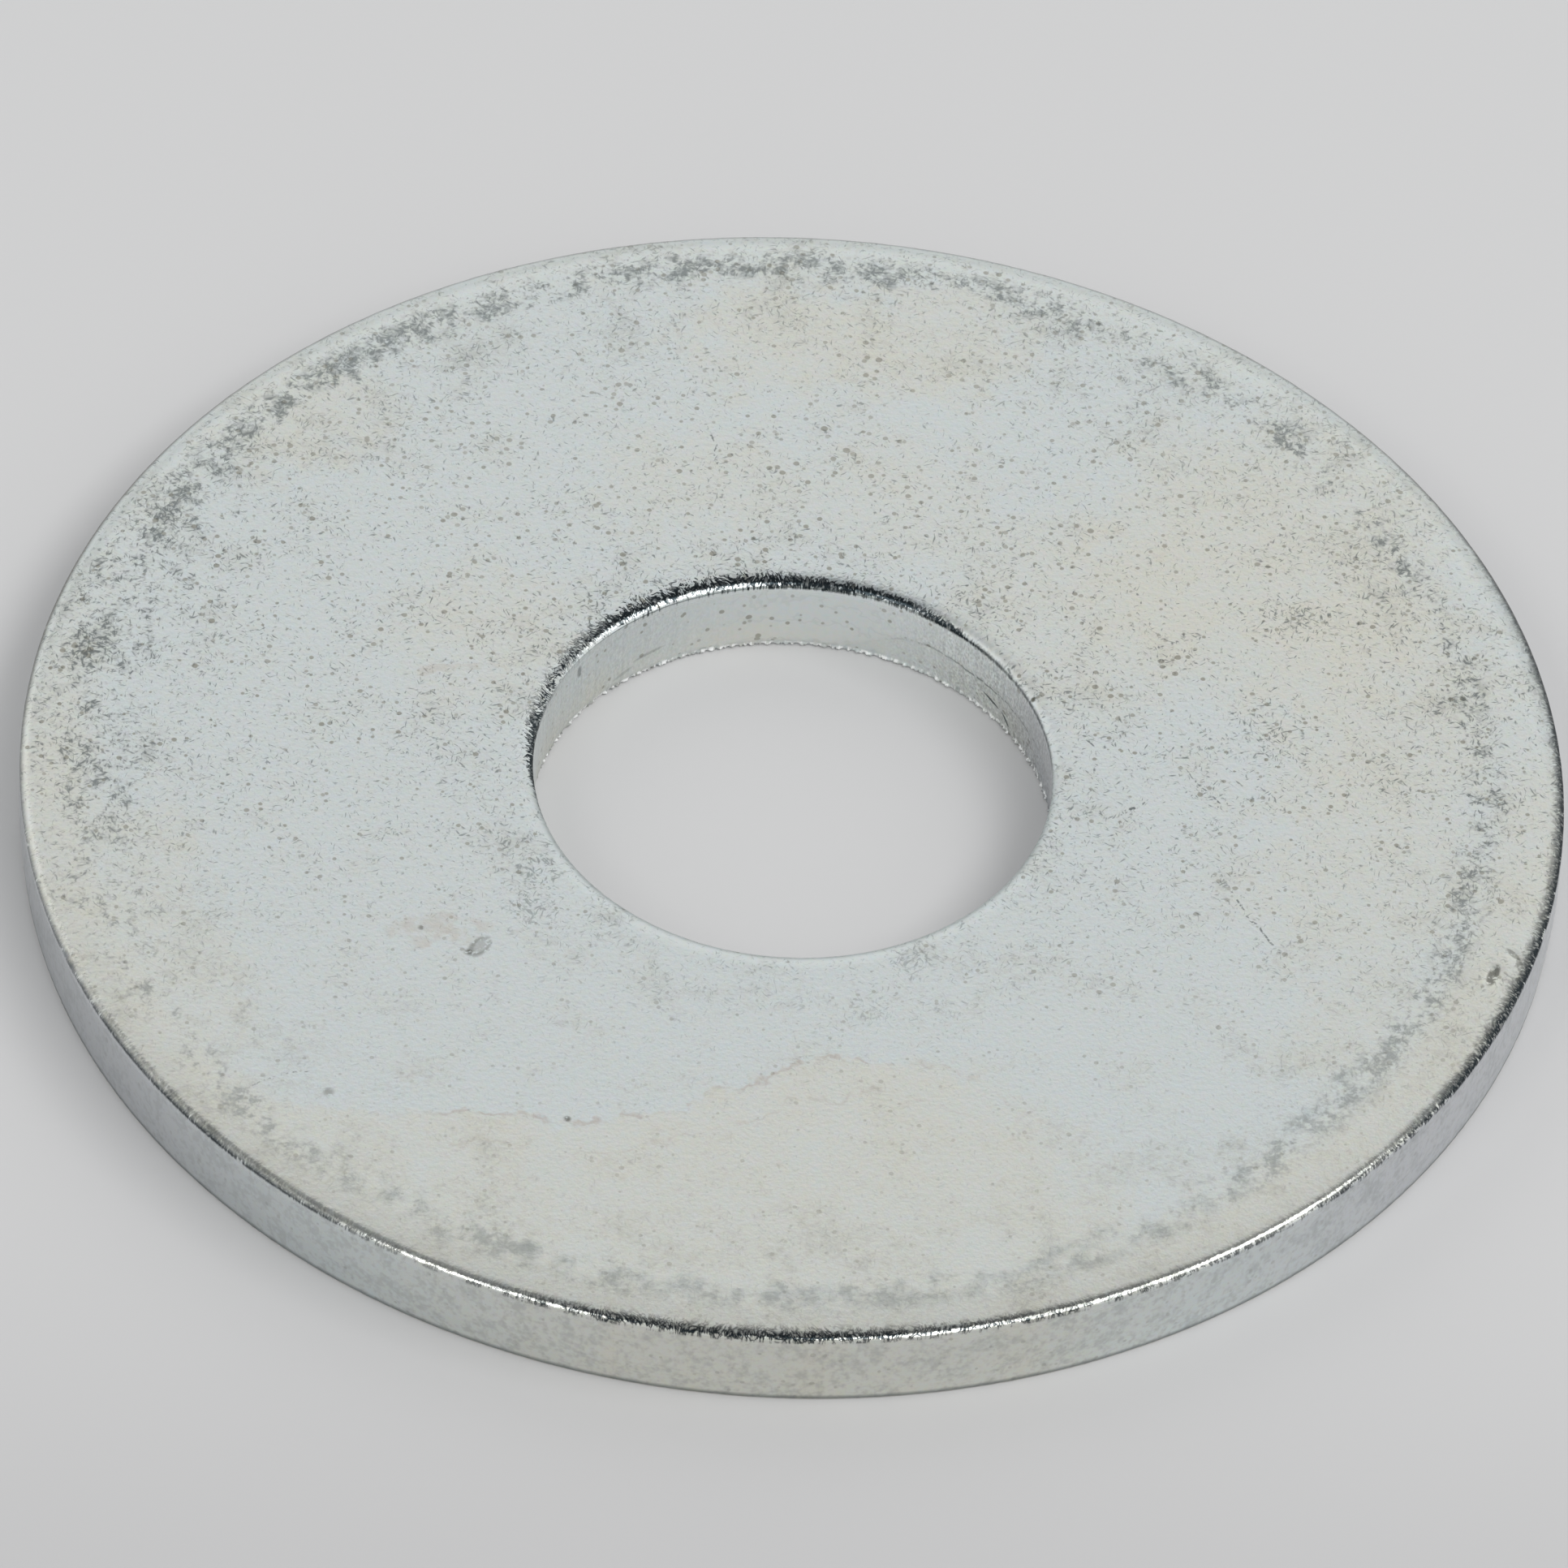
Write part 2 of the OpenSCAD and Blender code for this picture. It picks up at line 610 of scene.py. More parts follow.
    def build(self, material: bpy.types.Material) -> bpy.types.Object:
        """Sweeps the section and returns the ring as a plain mesh object.

        Args:
            material: The finish that the tree sets.

        Returns:
            The finished piece, at the origin, riding on the washer's body.
        """
        maker = add_object("washer_maker", Section(self.sizes).mesh())
        modifier = maker.modifiers.new("punched_ring", "NODES")
        modifier.node_group = self.tree()
        wanted = self.inputs() | {"Material": material}
        for item in modifier.node_group.interface.items_tree:
            if item.in_out == "INPUT" and item.name in wanted:
                modifier[item.identifier] = wanted[item.name]
        view = bpy.context.evaluated_depsgraph_get()
        mesh = bpy.data.meshes.new_from_object(maker.evaluated_get(view), depsgraph=view)
        bpy.data.objects.remove(maker)
        piece = add_object("washer_plated", mesh)
        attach(piece, "root")
        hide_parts(NODE)
        return piece


class Mark(Enum):
    """What a mark on the face does to the plating."""

    CLUSTER = "more dark strokes"
    STAIN = "a pink and brown stain"
    BLOT = "a dark blot"


@dataclass(frozen=True)
class Patch:
    """A broad warm patch of the tint, in millimetres."""

    middle: Point
    radius: float
    strength: float


@dataclass(frozen=True)
class WallMark:
    """A dark mark on the bore's wall, by its azimuth in degrees and its height."""

    azimuth: float
    height: float
    half: Point
    turn: float
    strength: float

    def oval(self, radius: float) -> Oval:
        """The oval that it is drawn as, on a wall of that radius."""
        out, side, up = Matrix.Rotation(math.radians(self.azimuth), 3, "Z").transposed()
        middle = tuple(out * radius + up * self.height)
        return Oval(middle, self.half, self.turn, self.strength, tuple(side), tuple(up))


@dataclass(frozen=True)
class Scratch:
    """A fine straight scratch on the top face, in millimetres."""

    start: Point
    end: Point
    width: float
    strength: float

    @property
    def oval(self) -> Oval:
        """Draws it as a long thin oval.

        Returns:
            The oval.
        """
        start, end = Vector(self.start), Vector(self.end)
        run = end - start
        half = (run.length / 2, self.width)
        return Oval(tuple((start + end) / 2), half, math.degrees(math.atan2(run.y, run.x)), self.strength)


PATCHES = (
    Patch((7.8, 5.6), 3.4, 0.9),
    Patch((9.8, 2.0), 2.7, 0.7),
    Patch((9.4, -1.8), 2.3, 0.6),
    Patch((9.4, -5.4), 1.7, 0.5),
    Patch((4.4, 3.6), 2.4, 0.6),
    Patch((-1.8, 6.3), 1.8, 0.5),
    Patch((1.6, 6.3), 1.8, 0.5),
    Patch((-0.7, 10.1), 1.7, 0.8),
    Patch((2.0, 10.0), 1.7, 0.8),
    Patch((-5.0, 2.6), 1.8, 0.6),
    Patch((-8.6, 7.6), 1.7, 0.7),
    Patch((-10.9, -3.0), 1.7, 0.6),
    Patch((-9.9, -5.9), 2.0, 0.6),
)

BLEMISHES = {
    Mark.STAIN: (
        Oval((-5.5, -4.15), (0.9, 0.4), 10.0, 0.8),
        Oval((-5.6, 1.75), (0.9, 0.1), 8.0, 0.7),
    ),
    Mark.BLOT: (
        Oval((-4.84, -4.44), (0.15, 0.26), -30.0, 0.58),
        Oval((-4.81, -4.41), (0.1, 0.18), -30.0, -0.26),
        Oval((-5.02, -4.58), (0.07, 0.07), 0.0, 0.5),
        Oval((-5.79, -4.09), (0.06, 0.06), 0.0, 0.6),
        Oval((-3.25, -8.1), (0.065, 0.065), 0.0, 0.8),
        Oval((-7.05, -7.8), (0.1, 0.1), 0.0, 0.45),
        # The next two blots lie over the pressed dents of the pit and hook; their dark is partly painted
        # shade in the dents.
        Oval((11.37, -3.8), (0.09, 0.25), -17.0, 0.8),
        Oval((11.69, -3.3), (0.05, 0.15), 46.0, 0.5),
        Oval((11.81, -3.58), (0.06, 0.22), 12.0, 0.45),
        Oval((3.84, 1.86), (0.05, 0.05), 0.0, 1.0),
    ),
    Mark.CLUSTER: (
        Oval((-3.98, -2.7), (0.4, 0.4), 0.0, 1.7),
        Oval((-4.08, -3.5), (0.38, 0.38), 0.0, 1.7),
        Oval((1.5, -5.3), (0.4, 0.4), 0.0, 1.3),
        Oval((2.1, -4.2), (0.35, 0.35), 0.0, 1.4),
        Oval((7.6, 1.2), (0.9, 0.9), 0.0, 0.9),
        Oval((8.0, 3.9), (0.8, 0.8), 0.0, 0.8),
    ),
}

WALL_MARKS = (
    WallMark(148.0, 1.13, (0.06, 0.14), 0.0, 0.6),
    WallMark(126.0, 0.47, (0.32, 0.035), -6.0, 0.3),
    WallMark(133.0, 0.3, (0.22, 0.04), -10.0, 0.28),
    WallMark(41.5, 0.42, (0.22, 0.03), 14.0, 1.0),
    WallMark(36.5, 0.27, (0.15, 0.03), 48.0, 1.0),
    WallMark(112.0, 0.1, (0.08, 0.08), 0.0, 0.45),
    WallMark(66.0, 0.13, (0.06, 0.06), 0.0, 0.5),
    WallMark(52.0, 0.1, (0.09, 0.09), 0.0, 0.55),
)

SCRATCHES = (
    Scratch((-1.83, 8.02), (-1.22, 6.25), 0.03, 0.7),
    Scratch((-2.35, 6.06), (-0.48, 6.21), 0.018, 0.35),
    Scratch((6.07, 0.64), (7.28, -0.65), 0.022, 0.7),
    Scratch((6.77, -1.6), (8.26, -4.2), 0.024, 0.7),
    Scratch((5.18, -0.81), (5.83, -0.3), 0.03, 0.8),
    Scratch((4.59, 1.72), (4.95, 0.45), 0.024, 0.7),
    Scratch((-8.39, -7.91), (-7.15, -7.19), 0.024, 0.6),
)

# How strong the ring of smudges is on the way round.
SMUDGES = Profile(1.2, (
    (-180, 0.55), (-165, 0.58), (-148, 0.45), (-138, 0.65), (-130, 0.75), (-120, 0.75), (-112, 0.85),
    (-100, 0.85), (-92, 0.95), (-80, 0.9), (-63, 1.0), (-46, 0.8), (-37, 1.0), (-23, 0.7),
    (-18, 0.95), (-9, 0.55), (0, 0.8), (11, 0.85), (20, 0.5), (28, 0.75), (37, 0.5), (46, 0.75),
    (58, 0.5), (71, 0.75), (84, 1.0), (100, 1.0), (112, 0.8), (127, 1.15), (138, 1.15), (151, 0.95),
    (165, 0.65), (180, 0.55),
))

# How far the dark band reaches from each edge into the face, in millimetres; the band is partly a dark
# deposit and partly a painted dark reflection.
BORE_BAND = Profile(0.35, (
    (-180, 0.13), (-168, 0.05), (-155, 0.0), (0, 0.0), (10, 0.02), (44, 0.028), (50, 0.045), (56, 0.08),
    (68, 0.13), (80, 0.14), (92, 0.17), (102, 0.21), (110, 0.24), (125, 0.25), (145, 0.26), (162, 0.21),
    (180, 0.13),
))
RIM_BAND = Profile(0.25, (
    (-180, 0.04), (-160, 0.05), (-150, 0.08), (-135, 0.1), (-125, 0.08), (-112, 0.08), (-100, 0.17),
    (-85, 0.2), (-70, 0.13), (-50, 0.08), (-38, 0.12), (-22, 0.19), (-8, 0.16), (5, 0.15), (20, 0.12),
    (40, 0.05), (120, 0.03), (180, 0.04),
))

# How far from each edge the clean strip inside its dark band reaches, plus about 0.04 mm.
BORE_STRIP = Profile(0.12, (
    (58, 0.0), (64, 0.045), (76, 0.045), (90, 0.03), (98, 0.045), (104, 0.06), (112, 0.096), (140, 0.096),
    (150, 0.085), (158, 0.05), (175, 0.02), (180, 0.0),
))
RIM_STRIP = Profile(0.12, (
    (-125, 0.0), (-120, 0.07), (-110, 0.064), (-106, 0.052), (-100, 0.05), (-97, 0.045), (-82, 0.045),
    (-77, 0.052), (-60, 0.056), (-50, 0.048), (-44, 0.045), (-40, 0.052), (-34, 0.04), (-28, 0.01),
    (180, 0.0),
))


class Surface:
    """A point of the washer, with its zones, the noises that the patterns share, and the patterns."""

    FACE: Point = (1.36, 1.44)
    UNDERSIDE: Point = (0.01, 0.04)
    TOP: Point = (1.26, 1.34)
    TEAR: Point = (-0.03, 0.04)
    STROKE_SIZE = (0.165, 0.055, 0.1)
    STROKE_GRIDS: tuple[Point, ...] = ((24.0, 0.0), (-38.0, 31.0), (84.0, 67.0))
    DOTS_PER_MM = 4.7
    HAIRS_PER_MM = 24.0

    def __init__(self, graph: Graph, sizes: Sizes) -> None:
        """Reads the Object coordinates and makes the masks of face, walls and rolls.

        Args:
            graph: The material's tree.
            sizes: The washer's sizes.
        """
        self.graph = graph
        self.sizes = sizes
        self.place = Place(graph, graph.add("ShaderNodeTexCoord", None, None, "Object"))
        height, point = self.place.height, self.place.point
        self.flat = height.rises(*self.FACE) | height.falls(*self.UNDERSIDE)
        self.top = height.rises(*self.TOP)
        self.gap = graph.add("ShaderNodeAttribute", {"attribute_name": TORN}, None, "Fac")
        self.torn = self.gap.rises(*self.TEAR)
        self.bore_inset = self.place.radius - sizes.bore_r
        self.rim_inset = sizes.rim_r - self.place.radius
        self.bore_wall = self.bore_inset.falls(0.3, 0.6) * (1 - self.flat)
        self.rim_wall = self.rim_inset.falls(0.3, 0.6) * (1 - self.flat)
        self.broad = graph.noise(point, 0.8, 4.0, 0.62, True) - 0.5
        self.clump = graph.noise(point, 2.8, 2.0, 0.6) - 0.5
        self.fibre = graph.noise(point, 13.0, 1.5, 0.6, True) - 0.5
        cast = graph.noise(point, 9.0, 1.5, 0.7, output="Color")
        self.cast = graph.vector("SUBTRACT", cast, (0.5, 0.5, 0.5))
        self.crumb = graph.part(self.cast, "X")
        curl = graph.noise(point, 1.8, 1.0, 0.5, True, "Color")
        self.curl = graph.vector("SUBTRACT", curl, (0.5, 0.5, 0.5))
        self.bent = graph.vector("MULTIPLY_ADD", self.curl, (0.25, 0.25, 0.0), self.place.level)
        self.swayed = graph.vector("MULTIPLY_ADD", self.curl, (1.8, 1.8, 0.0), self.place.level)

    def spot(self, point: Value, middle: tuple, radius: float, full: float, edge: float = 1.3) -> Value:
        """A soft round spot that is full inside 0.4 of its radius and gone at its edge."""
        far = self.graph.vector("DISTANCE", point, Vector(middle).to_3d())
        return far.falls(radius * 0.4, radius * edge, full)

    def patches(self) -> Value:
        """How warm the broad patches of the tint are."""
        return sum(self.spot(self.swayed, p.middle, p.radius, p.strength) for p in PATCHES)

    def mark(self, point: Value, mark: Oval, fade: Point = (0.5, 1.4), edge: float = 1.3) -> Value:
        """How strong one mark is at a point.

        Args:
            point: The point in millimetres.
            mark: The mark; a round one takes a single distance.
            fade: The squared distances that it fades between.
            edge: Where a round one ends, as a share of its radius.

        Returns:
            Its mask.
        """
        if mark.half[0] == mark.half[1]:
            return self.spot(point, mark.middle, mark.half[0], mark.full, edge)
        return self.place.oval(point, mark).falls(*fade, mark.full)

    def marks(self, point: Value, kind: Mark) -> Value:
        """How strong the face's marks of one kind are at a point."""
        return sum(self.mark(point, mark) for mark in BLEMISHES[kind])

    def wall_marks(self) -> Value:
        """How strong the marks on the far half of the bore's wall are."""
        ovals = (mark.oval(self.sizes.bore_r) for mark in WALL_MARKS)
        found = largest(self.mark(self.place.point, oval, (0.16, 1.44), 1.2) for oval in ovals)
        return found * self.place.out_y.rises(0.1, 0.2)

    def scratches(self) -> Value:
        """Fine straight scratches on the top face."""
        drawn = (self.place.oval(self.bent, s.oval).falls(0.25, 1.0, s.strength) for s in SCRATCHES)
        return largest(drawn) * (self.crumb + self.fibre * 0.6).rises(-0.04, 0.14)

    def tide(self) -> Value:
        """The distance above the wavy tide line across the near face."""
        ramp = self.place.x.rises(-2.8, 1.4) * 1.55 - self.place.x.rises(2.5, 6.0) * 2.6
        return self.place.y + 8.05 - ramp - self.broad * 1.1

    def smudge(self) -> Value:
        """The broken ring of smudges inside the rolled rim.

        Returns:
            Its mask.
        """
        place = self.place
        left = place.out_x.falls(-0.99, -0.84)
        middle = 11.72 - place.out_x.rises(0.2, 0.95) * 0.48 - left * 0.35
        ring = abs(place.radius - middle + self.clump * 0.6).falls(left * 0.15 + 0.06, left * 0.8 + 0.48)
        grain = self.crumb * (place.y.rises(-10.5, -7.5) * 0.9 + 0.3)
        clumps = self.clump * 0.9 + grain + self.broad * 0.4 + SMUDGES.at(place) * 0.42
        return ring * clumps.rises(0.12, 0.74) * self.top

    def density(self, smudge: Value) -> Value:
        """How thickly the dark strokes lie, about 0 where they are usual.

        Args:
            smudge: The ring of smudges.

        Returns:
            The density.
        """
        outer = self.place.radius.rises(8.2, 11.0) * 0.05
        inner = self.place.radius.falls(4.4, 7.0) * 0.05
        return self.broad * 0.32 + self.clump * 0.22 + outer + inner + smudge * 0.25

    def strokes(self, density: Value) -> Value:
        """Short dark strokes in the plating, lying every way.

        Args:
            density: How thickly they lie.

        Returns:
            Their mask.
        """
        layers = []
        for turn, shift in self.STROKE_GRIDS:
            sockets = {"Vector": self.bent, "Location": (shift, shift, 0.0),
                       "Rotation": (0.0, 0.0, math.radians(turn)), "Scale": self.STROKE_SIZE}
            grid = self.graph.add("ShaderNodeMapping", {"vector_type": "TEXTURE"}, sockets)
            layers.append(self.graph.noise(grid, 1.0, 1.6, 0.65, True))
        cluster = self.marks(self.bent, Mark.CLUSTER) * 0.06
        return (largest(layers) + density * 0.6 + cluster).rises(0.64, 0.84) * self.flat

    def dots(self) -> Value:
        """Small round brownish dots, on the face and the walls.

        Returns:
            Their mask.
        """
        sockets = {"Vector": self.place.point, "Scale": self.DOTS_PER_MM, "Randomness": 1.0}
        cells = self.graph.add("ShaderNodeTexVoronoi", None, sockets)
        lot = self.graph.part(Value(self.graph, cells.socket.node.outputs["Color"]), "X")
        size = self.broad * 0.35 + self.place.out_y * 0.03 + self.crumb * 0.12 + lot * 0.07 + 0.125
        return (cells - size).falls(-0.05, 0.04, lot * 0.35 + 0.36)

    def beads(self) -> Value:
        """Dust-like beads along the burr at the foot of the bore, painted pale as glints."""
        foot = self.place.height.rises(0.02, 0.05) * self.place.height.falls(0.08, 0.13)
        return (self.crumb + self.fibre).rises(0.01, 0.08) * (foot * self.bore_inset.falls(0.05, 0.12))

    def rolled(self) -> Value:
        """Where the edges are rolled and so burnished."""
        shine = self.place.out_x.falls(0.25, 0.65) * self.place.out_y.rises(-0.2, 0.2)
        return (self.bore_inset.falls(0.2, 0.36) * shine | self.rim_inset.falls(0.1, 0.22)) * self.top

    def fur(self) -> Value:
        """Fine hairs that run out from the bore and in from the rim.

        Returns:
            Their noise, about 0.
        """
        bore_r, rim_r = self.sizes.bore_r, self.sizes.rim_r
        span = self.place.radius.rises(7.0, 10.0) * (rim_r - bore_r) + bore_r
        circle = self.graph.vector("SCALE", self.place.outward, scale=span)
        combed = self.graph.vector("MULTIPLY_ADD", self.curl, (0.5, 0.5, 0.0), circle)
        combed = self.graph.vector("ADD", combed, self.graph.join(z=self.place.radius * 0.4))
        return self.graph.noise(combed, self.HAIRS_PER_MM, 1.0, 0.6) - 0.5

    def deposits_and_dark_reflections(self) -> Value:
        """The blue-black bands on the rolled edges, with their bristly borders: partly a dark deposit,
        partly a painted dark reflection.

        Returns:
            Their mask.
        """
        place, crumb, fur = self.place, self.crumb, self.fur()
        front = place.out_y.falls(-0.98, -0.75)
        band = RIM_BAND.at(place) * (1 + (crumb + fur) * (front * 1.2 + 1.2) + self.clump)
        strip = self.rim_inset + (crumb + fur + self.clump) * 0.18 - RIM_STRIP.at(place)
        rim = (self.rim_inset - band).falls(-0.13, 0.08) * strip.rises(-0.06, -0.01)
        bristly = place.out_x.falls(-0.25, 0.15)
        band = BORE_BAND.at(place) * (1 + fur * (bristly * 2.0 + 1.8) + crumb * 1.6)
        strip = self.bore_inset + fur * (bristly * 0.22 + 0.12) + crumb * 0.06 - BORE_STRIP.at(place)
        bore = (self.bore_inset - band).falls(-0.04, 0.02) * strip.rises(-0.06, -0.02)
        silver = place.out_x.falls(-0.95, -0.65) * place.out_x.rises(-1.0, -0.96)
        silver = silver * (fur + crumb * 0.3).rises(-0.02, 0.1) * 0.8
        flecks = (crumb + fur + self.clump * 0.5).rises(0.06, 0.28) * (front * 0.5 + 0.36)
        edge = (place.height + fur * 0.06).rises(1.32, 1.375)
        return (rim | bore * (1 - silver)) * edge * (1 - flecks)


@dataclass(frozen=True)
class ZincFinish:
    """Bright zinc plating with a blue and yellow passivation tint."""

    blue: Colour = (0.75, 0.792, 0.786)
    yellow: Colour = (0.78, 0.772, 0.698)
    # Dark specks, strokes and scratches; also the painted shadow at the wall foot and in the crack.
    speck_and_shade: Colour = (0.105, 0.125, 0.13)
    brown: Colour = (0.27, 0.25, 0.195)
    # Grey veil of smudges and mottling; also painted shade on the walls and rolls.
    veil_and_shade: Colour = (0.33, 0.368, 0.368)
    lilac: Colour = (0.57, 0.555, 0.6)
    stain: Colour = (0.64, 0.56, 0.48)
    rust_line: Colour = (0.56, 0.47, 0.42)
    blot: Colour = (0.15, 0.15, 0.125)
    # Blue-black of the rolled-edge bands: partly deposit, partly painted dark reflection.
    deposit_and_dark_reflection: Colour = (0.028, 0.037, 0.042)
    # Near-white of the burr beads: a painted glint.
    bead_glint: Colour = (0.93, 0.94, 0.93)
    mist_share: float = 0.4
    smudge_share: float = 0.62
    stroke_share: float = 0.68
    stain_share: float = 0.45
    lilac_share: float = 0.5
    tide_share: float = 0.5
    face_rough: float = 0.4
    roll_rough: float = 0.16
    wall_rough: float = 0.3
    worn_rough: float = 0.1
    relief: float = 0.004

    def build(self, sizes: Sizes) -> bpy.types.Material:
        """Makes the material.

        Args:
            sizes: The washer's sizes, which place the zones.

        Returns:
            The material, read on Object coordinates.
        """
        material, graph = blank_material("zinc_plate")
        surface = Surface(graph, sizes)
        smudge = surface.smudge()
        density = surface.density(smudge)
        near, far = surface.place.y.falls(-8.5, 1.0), surface.place.y.rises(3.0, 10.0)
        clear = 1 - near * 0.78 - far * 0.3
        strokes = surface.strokes(density) * clear
        mist = (density + surface.crumb * 0.28).rises(0.02, 0.3)
        mist = mist * (near * 0.1 + far * 0.16 + self.mist_share) | smudge * near * self.smudge_share
        colour = graph.blend(mist * surface.flat, self.tint(surface), self.veil_and_shade)
        colour = graph.blend(surface.dots() * (clear * 0.7 + 0.3), colour, self.brown)
        colour = graph.blend(strokes * self.stroke_share, colour, self.speck_and_shade)
        for dress in (self.spoil, self.shade_walls, self.flaw_walls, self.shade_edges):
            colour = dress(surface, colour)
        # Painted glints: the burr beads turn near-white and mostly non-metallic.
        beads = surface.beads()
        colour = graph.blend(beads, colour, self.bead_glint)
        # The rolled-edge bands: partly deposit, partly painted dark reflection.
        colour = graph.blend(surface.deposits_and_dark_reflections(), colour, self.deposit_and_dark_reflection)
        rough = surface.flat * (self.face_rough - self.wall_rough) + self.wall_rough
        rough = rough + surface.rolled() * (self.roll_rough - self.face_rough)
        rough = rough + (strokes + surface.torn) * self.worn_rough
        normal = graph.add("ShaderNodeBump", None, {
            "Strength": 1.0, "Distance": self.relief * MM, "Height": surface.fibre})
        shader = graph.add("ShaderNodeBsdfPrincipled", None, {
            "Base Color": colour, "Metallic": 1 - beads * 0.9, "Roughness": rough, "Normal": normal})
        graph.end("ShaderNodeOutputMaterial", shader)
        return material

    def tint(self, surface: Surface) -> Value:
        """The plating's own colour: blue, with warm patches below and right.

        Args:
            surface: The point.

        Returns:
            The colour.
        """
        graph, place, tide = surface.graph, surface.place, surface.tide()
        rim_band = place.radius.rises(10.9, 11.8) * (place.y.falls(-2.0, 3.0) * 0.65 + 0.3)
        blur = place.x.rises(1.5, 5.0) * 1.2 + 0.12
        warm = surface.patches() + tide.falls(blur * -1, blur) * 0.75
        warm = (warm | rim_band) * 0.85 + surface.broad * 1.2
        at_bore = surface.bore_inset.falls(0.0, 0.1)
        warm = warm + at_bore * place.height.falls(0.3, 1.1) * place.out_x.falls(0.2, 0.7) * 0.5
        at_rim = surface.rim_inset.falls(0.1, 0.2) * (1 - surface.flat)
        cool = abs(place.out_x).rises(0.2, 0.6) * at_rim | at_bore * place.height.rises(0.3, 1.1) * 0.7
        base = graph.blend(warm * (1 - cool), self.blue, self.yellow)
        base = graph.vector("MULTIPLY_ADD", surface.cast, (0.1, 0.05, 0.12), base)
        broken = surface.clump.rises(-0.12, 0.1) * place.x.rises(-7.0, -4.5) * place.x.falls(2.0, 4.5)
        line = (abs(tide).falls(0.0, 0.07) | abs(tide + 0.75).falls(0.0, 0.06) * 0.5) * broken
        return graph.blend(line * surface.flat * self.tide_share, base, self.rust_line)

    def spoil(self, surface: Surface, colour: Value) -> Value:
        """Lays the stains, the blots and the scratches over the face.

        Args:
            surface: The point.
            colour: Its colour so far.

        Returns:
            The colour.
        """
        graph, flat = surface.graph, surface.flat
        stain = surface.marks(surface.bent, Mark.STAIN) * surface.clump.rises(-0.12, 0.12)
        worn = (surface.fibre + surface.crumb).rises(-0.3, -0.02)
        blot = surface.marks(surface.place.level, Mark.BLOT) * worn
        colour = graph.blend(stain * flat * self.stain_share, colour, self.stain)
        colour = graph.blend(blot * flat, colour, self.blot)
        return graph.blend(surface.scratches() * flat, colour, self.speck_and_shade)

    def shade_walls(self, surface: Surface, colour: Value) -> Value:
        """Gives the walls their lilac tints, drag lines and mottling, painted shade on their left and right
        sides, and a painted sheen on the far bore wall.

        Args:
            surface: The point.
            colour: Its colour so far.

        Returns:
            The colour.
        """
        graph, place = surface.graph, surface.place
        rim, bore = surface.rim_wall, surface.bore_wall
        left, right = place.out_x.falls(-0.75, -0.1), place.out_x.rises(0.2, 0.8)
        lilac = rim * place.out_y.rises(-0.9, -0.55) | bore * place.out_x.rises(0.75, 0.98)
        colour = graph.blend(lilac * self.lilac_share, colour, self.lilac)
        drag_and_sheen = place.round_noise(surface.sizes.bore_r, 26.0, 1.0, 0.6) + surface.fibre * 0.4 - 0.5
        # Painted sheen: the far half of the bore wall is lightened.
        drag_and_sheen = drag_and_sheen * (left | right * 2.4) * (surface.clump + 0.5) + place.out_y.rises(0.3, 0.8) * 0.06
        drag_and_sheen = drag_and_sheen * bore
        colour = graph.vector("MULTIPLY_ADD", colour, graph.join(drag_and_sheen, drag_and_sheen, drag_and_sheen), colour)
        # Mottling on the rim wall, a little stronger on the left, where it adds painted shade.
        mottle = (surface.crumb + surface.clump * 0.8 + left * 0.1).rises(-0.16, 0.3) * rim * 0.4
        ebb = graph.maths("SINE", place.height * 13.0 + surface.clump * 14.0 + place.x * 0.9)
        ebb = ebb.rises(0.8, 1.0) * bore * (1 - right) * 0.1
        # Painted shade on the left and right of the bore wall and on the left of the rim wall.
        shade = (place.out_x.rises(0.3, 1.0) * 0.2 | left * 0.2) * bore | left * rim * 0.18
        return graph.blend(mottle | ebb | shade, colour, self.veil_and_shade)

    def flaw_walls(self, surface: Surface, colour: Value) -> Value:
        """Gives the walls their cracks with painted shade in them, their pores and marks, and a painted
        contact shadow at their foot.

        Args:
            surface: The point.
            colour: Its colour so far.

        Returns:
            The colour.
        """
        graph, height, gap = surface.graph, surface.place.height, surface.gap
        rim, bore = surface.rim_wall, surface.bore_wall
        # Painted shade in the crack along the tear line.
        crack_shade = abs(gap).falls(0.0, 0.045) * (surface.clump + surface.fibre).rises(-0.18, -0.02)
        pores = gap.rises(0.02, 0.1) * (surface.crumb + surface.fibre * 0.5).rises(0.1, 0.3) * 0.5
        flaws = (crack_shade * 0.8 | pores) * surface.place.out_x.rises(0.2, 0.8) | surface.wall_marks()
        colour = graph.blend(flaws * bore, colour, self.speck_and_shade)
        # Painted contact shadow: a dark line at the foot of the rim and bore walls.
        foot = height.falls(0.03, 0.14) * rim * 0.7 | height.falls(0.01, 0.04) * bore * 0.8
        return graph.blend(foot, colour, self.speck_and_shade)

    def shade_edges(self, surface: Surface, colour: Value) -> Value:
        """Paints shade on the near bore roll and the far rim roll, and draws the far rim's thin outline.

        Args:
            surface: The point.
            colour: Its colour so far.

        Returns:
            The colour.
        """
        far, rim_inset = surface.place.out_y.rises(-0.2, 0.4), surface.rim_inset
        # Painted shade: the near bore roll and the far rim roll are darkened toward the grey veil.
        roll_shade = surface.bore_inset.falls(0.04, 0.22) * (1 - far) * 0.35
        roll_shade = rim_inset.falls(0.05, 0.4) * far * 0.4 | roll_shade
        colour = surface.graph.blend(roll_shade * surface.top, colour, self.veil_and_shade)
        line = rim_inset.falls(0.02, 0.07) * far * surface.top * 0.7
        return surface.graph.blend(line, colour, self.brown)


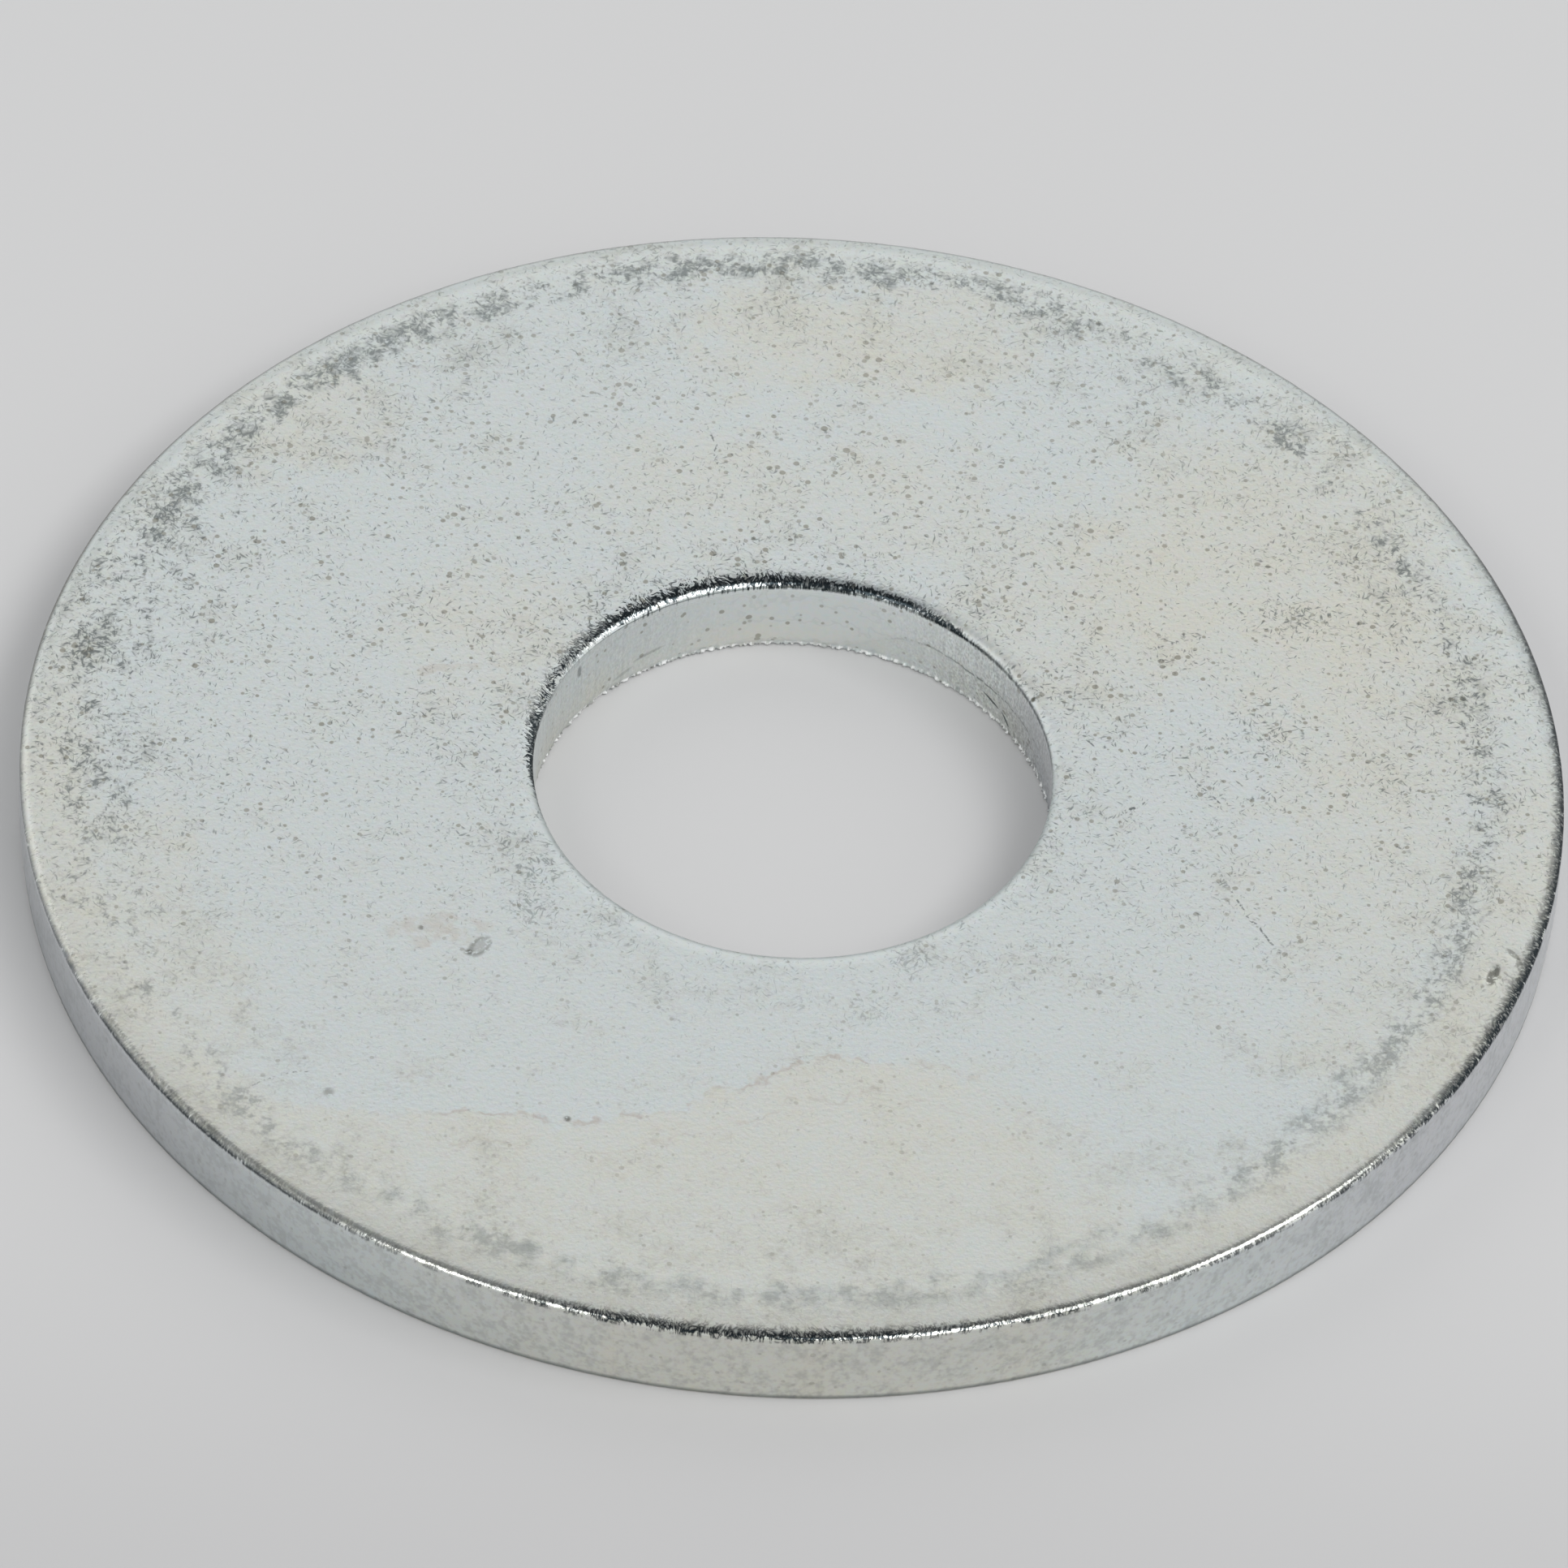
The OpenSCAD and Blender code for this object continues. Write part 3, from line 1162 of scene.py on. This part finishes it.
@dataclass(frozen=True)
class Softbox:
    """A soft rectangular lamp that faces the washer."""

    name: str
    azimuth: float
    elevation: float
    distance: float
    size: Point
    power: float

    def build(self) -> None:
        """Makes the lamp, turned to the origin and unseen by the camera."""
        data = bpy.data.lights.new(self.name, "AREA")
        data.shape = "RECTANGLE"
        data.size, data.size_y = self.size
        data.energy = self.power
        lamp = add_object(self.name, data)
        turn, lift = math.radians(self.azimuth), math.radians(self.elevation)
        way = Vector((math.cos(turn) * math.cos(lift), math.sin(turn) * math.cos(lift), math.sin(lift)))
        lamp.location = way * self.distance
        lamp.rotation_euler = way.to_track_quat("Z", "Y").to_euler()
        lamp.visible_camera = False


@dataclass(frozen=True)
class Shot:
    """The photograph's camera, as it stands from the washer's underside centre."""

    elevation: float = 45.55
    roll: float = 3.24
    distance: float = 0.25
    across: float = 0.131 * MM
    up: float = -0.745 * MM
    lens: float = 353.42
    sensor: float = 36.0

    def build(self) -> None:
        """Makes the camera and sets it as the scene's own."""
        lift, roll = math.radians(self.elevation), math.radians(self.roll)
        right = Vector((1.0, 0.0, 0.0))
        upward = Vector((0.0, math.sin(lift), math.cos(lift)))
        ahead = Vector((0.0, math.cos(lift), -math.sin(lift)))
        side = right * math.cos(roll) + upward * math.sin(roll)
        top = upward * math.cos(roll) - right * math.sin(roll)
        turn = Matrix((side, top, -ahead)).transposed().to_4x4()
        data = bpy.data.cameras.new("camera")
        data.lens = self.lens
        data.sensor_width = self.sensor
        data.clip_start, data.clip_end = 0.01, 10.0
        camera = add_object("camera", data)
        place = right * self.across + upward * self.up + ahead * self.distance
        camera.matrix_world = Matrix.Translation(-place) @ turn
        bpy.context.scene.camera = camera


@dataclass
class Studio:
    """The pale floor, the soft light round it and the camera."""

    floor_half: float = 1.2
    floor_far: Colour = (0.612, 0.608, 0.609)
    floor_near_shaded: Colour = (0.515, 0.51, 0.512)
    horizon: Colour = (0.9, 0.91, 0.91)
    zenith: Colour = (0.32, 0.33, 0.34)
    ground_line: Colour = (0.72, 0.73, 0.73)
    near_side: Colour = (0.62, 0.63, 0.63)
    lamps: tuple[Softbox, ...] = (
        Softbox("key_light", -33.0, 56.0, 0.6, (0.62, 0.26), 1.75),
        Softbox("fill_light", -131.0, 50.0, 0.6, (0.18, 0.22), 0.35),
    )

    def floor(self) -> None:
        """Makes the floor, a level sheet just under the washer, with painted shade that darkens it towards
        the camera.
        """
        mesh = bpy.data.meshes.new("floor")
        half = self.floor_half
        corners = ((-half, -half), (half, -half), (half, half), (-half, half))
        mesh.from_pydata([(x, y, 0.0) for x, y in corners], [], [(0, 1, 2, 3)])
        material, graph = blank_material("floor")
        place = Place(graph, graph.add("ShaderNodeTexCoord", None, None, "Object"))
        # Painted shade: the floor darkens towards the camera.
        colour = graph.blend(place.y.rises(-21.0, -5.0), self.floor_near_shaded, self.floor_far)
        shader = graph.add("ShaderNodeBsdfPrincipled", None,
                           {"Base Color": colour, "Roughness": 0.9, "Specular IOR Level": 0.1})
        graph.end("ShaderNodeOutputMaterial", shader)
        mesh.materials.append(material)
        add_object("floor", mesh)

    def surround(self) -> None:
        """Makes the world, pale near the horizon and darker overhead and behind the camera."""
        world = bpy.data.worlds.new("studio")
        world.use_nodes = True
        world.node_tree.nodes.clear()
        bpy.context.scene.world = world
        graph = Graph(world.node_tree)
        way = graph.add("ShaderNodeTexCoord", None, None, "Generated")
        depth, height = graph.part(way, "Y"), graph.part(way, "Z")
        colour = graph.blend(height.rises(0.0, 0.5), self.ground_line, self.horizon)
        colour = graph.blend(depth.falls(-0.75, -0.3), colour, self.near_side)
        colour = graph.blend(height.rises(0.66, 0.92), colour, self.zenith)
        shade = graph.add("ShaderNodeBackground", None, {"Color": colour, "Strength": 1.0})
        world.cycles.sampling_method = "NONE"
        graph.end("ShaderNodeOutputWorld", shade)

    def build(self) -> None:
        """Makes the floor, the world, the lamps and the camera."""
        self.floor()
        self.surround()
        for lamp in self.lamps:
            lamp.build()
        Shot().build()
        bpy.context.scene.view_settings.view_transform = "Standard"


def main() -> None:
    """Builds the studio and the washer."""
    logging.basicConfig(level=logging.INFO, format="%(name)s: %(message)s")
    Studio().build()
    sizes = Sizes.from_frame(frame["record"])
    LOG.info("sizes in millimetres: %s", astuple(sizes)[:3])
    ring = PunchedRing(sizes).build(ZincFinish().build(sizes))
    ring.data.calc_loop_triangles()
    LOG.info("%s: %d triangles", ring.name, len(ring.data.loop_triangles))


if __name__ == "__main__":
    main()
